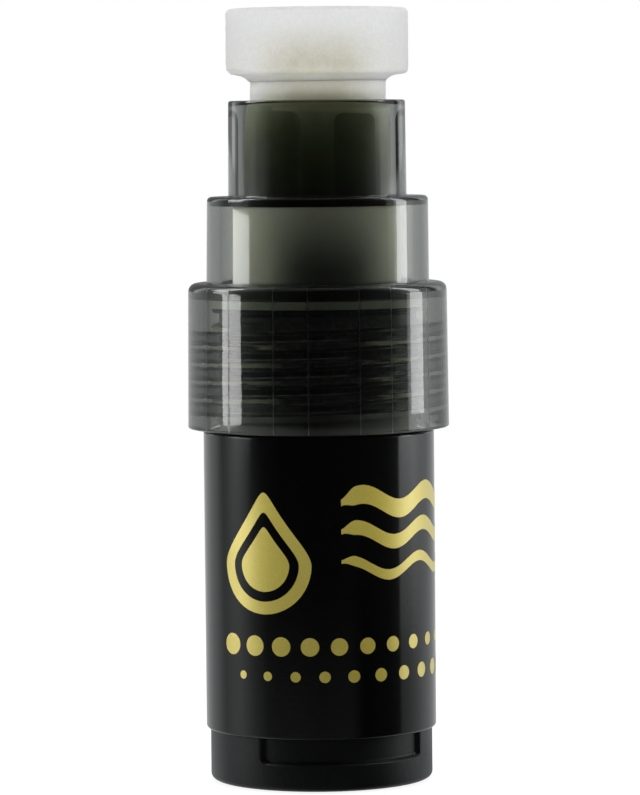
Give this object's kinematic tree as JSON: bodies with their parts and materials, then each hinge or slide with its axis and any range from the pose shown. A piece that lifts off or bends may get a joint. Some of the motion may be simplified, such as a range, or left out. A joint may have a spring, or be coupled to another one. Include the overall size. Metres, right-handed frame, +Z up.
{
  "type": "paint marker",
  "caption": "Pump-action paint marker with a foam-covered round tip, a clear stepped screw-on head and a round refillable barrel.",
  "frame": {"origin": "centre of the base, on the surface that the marker stands on", "axes": "+Z up along the barrel to the tip, -Y towards the printed front"},
  "size_m": [0.0282, 0.0282, 0.0834],
  "materials": {
    "plug_plastic": "satin moulded, finely textured",
    "barrel_plastic": "glossy black with gold print",
    "steel": "bright bearing steel and spring wire",
    "seal_rubber": "soft seal",
    "natural_plastic": "unpigmented polyethylene",
    "smoke_plastic": "clear smoke-grey, polished",
    "felt": "pressed polyester fibre",
    "foam": "fine white open-cell foam"
  },
  "bodies": {
    "bottle": {"barrel": "barrel_plastic", "base_plug": "plug_plastic"},
    "ball_1": {"mixing_ball_1": "steel"},
    "ball_2": {"mixing_ball_2": "steel"},
    "valve_unit": {"valve_body": "natural_plastic", "neck_gasket": "seal_rubber", "valve_spring": "steel"},
    "plunger": {"push_plate": "natural_plastic", "valve_stem": "natural_plastic", "stem_seal": "seal_rubber"},
    "head": {"head_shell": "smoke_plastic"},
    "nib": {"nib_core": "felt", "nib_cover": "foam"}
  },
  "joints": [
    {"name": "head_lift", "type": "slide", "parent": "bottle", "child": "valve_unit", "axis": [0, 0, 1], "range_m": [0, 0.01235]},
    {"name": "head_turn", "type": "hinge", "parent": "valve_unit", "child": "head", "pos_m": [0, 0, 0.0523], "axis": [0, 0, 1], "range_deg": [0, 2340]},
    {"name": "nib_press", "type": "slide", "parent": "head", "child": "nib", "axis": [0, 0, -1], "range_m": [0, 0.002], "stiffness_N_per_m": 800, "springref_m": -0.0006},
    {"name": "valve_open", "type": "slide", "parent": "valve_unit", "child": "plunger", "axis": [0, 0, -1], "range_m": [0, 0.002], "deforming": ["valve_spring"]},
    {"name": "ball_1_run", "type": "slide", "parent": "bottle", "child": "ball_1", "axis": [0, 0, 1], "range_m": [0, 0.028]},
    {"name": "ball_2_run", "type": "slide", "parent": "bottle", "child": "ball_2", "axis": [0, 0, 1], "range_m": [0, 0.028]}
  ],
  "couplings": [
    {"joint": "head_turn", "follows": "head_lift", "rad_per_m": 3306.9},
    {"joint": "valve_open", "follows": "nib_press", "ratio": 1}
  ]
}
